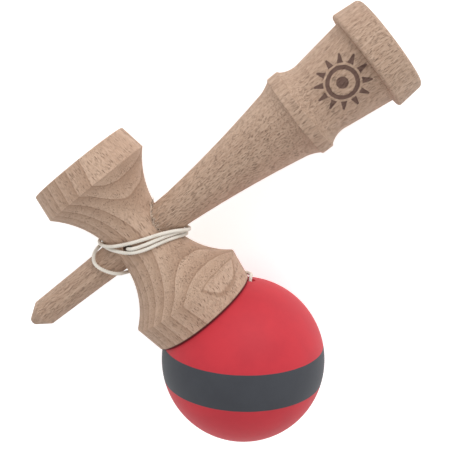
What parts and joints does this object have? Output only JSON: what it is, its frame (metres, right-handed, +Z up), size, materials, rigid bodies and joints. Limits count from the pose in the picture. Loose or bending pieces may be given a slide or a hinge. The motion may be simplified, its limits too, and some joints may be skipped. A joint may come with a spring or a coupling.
{
  "type": "kendama",
  "caption": "Wooden kendama at rest: handle with spike and base cup, pushed-on double cup, painted ball seated in the big cup, string wound round the crossing.",
  "frame": {"origin": "on the table, under the middle of the toy's bounding box as it lies at rest", "axes": "+Z up from the table; +X along the handle from the spike to the base cup (the handle dips 3 degrees towards the base cup); +Y from the ball to the small cup"},
  "size_m": [0.163, 0.1244, 0.06],
  "materials": {
    "beech": "unvarnished turned beech, grain along the handle",
    "beech_cross": "unvarnished turned beech, grain along the cup axis",
    "red_paint": "wooden ball in matte red paint with one dark grey-blue stripe",
    "bead_wood": "plain wooden bead",
    "string": "off-white braided nylon"
  },
  "bodies": {
    "handle": {"handle": "beech", "string_core": "string", "anchor_knot": "string"},
    "cups": {"double_cup": "beech_cross", "string_wound": "string", "string_tail": "string"},
    "bead": {"bead": "bead_wood", "bead_knot": "string", "string_in_ball": "string"},
    "ball": {"ball": "red_paint"}
  },
  "joints": [
    {"name": "cup_pull", "type": "slide", "parent": "handle", "child": "cups", "axis": [-0.9986, 0, 0.0524], "range_m": [0, 0.072]},
    {"name": "ball_lift", "type": "slide", "parent": "cups", "child": "bead", "axis": [0.0058, -0.9938, 0.111], "range_m": [0, 0.025]},
    {"name": "ball_spin", "type": "hinge", "parent": "bead", "child": "ball", "pos_m": [-0.02672, -0.03216, 0.03], "axis": [0.6774, 0.7142, -0.176], "continuous": true}
  ]
}
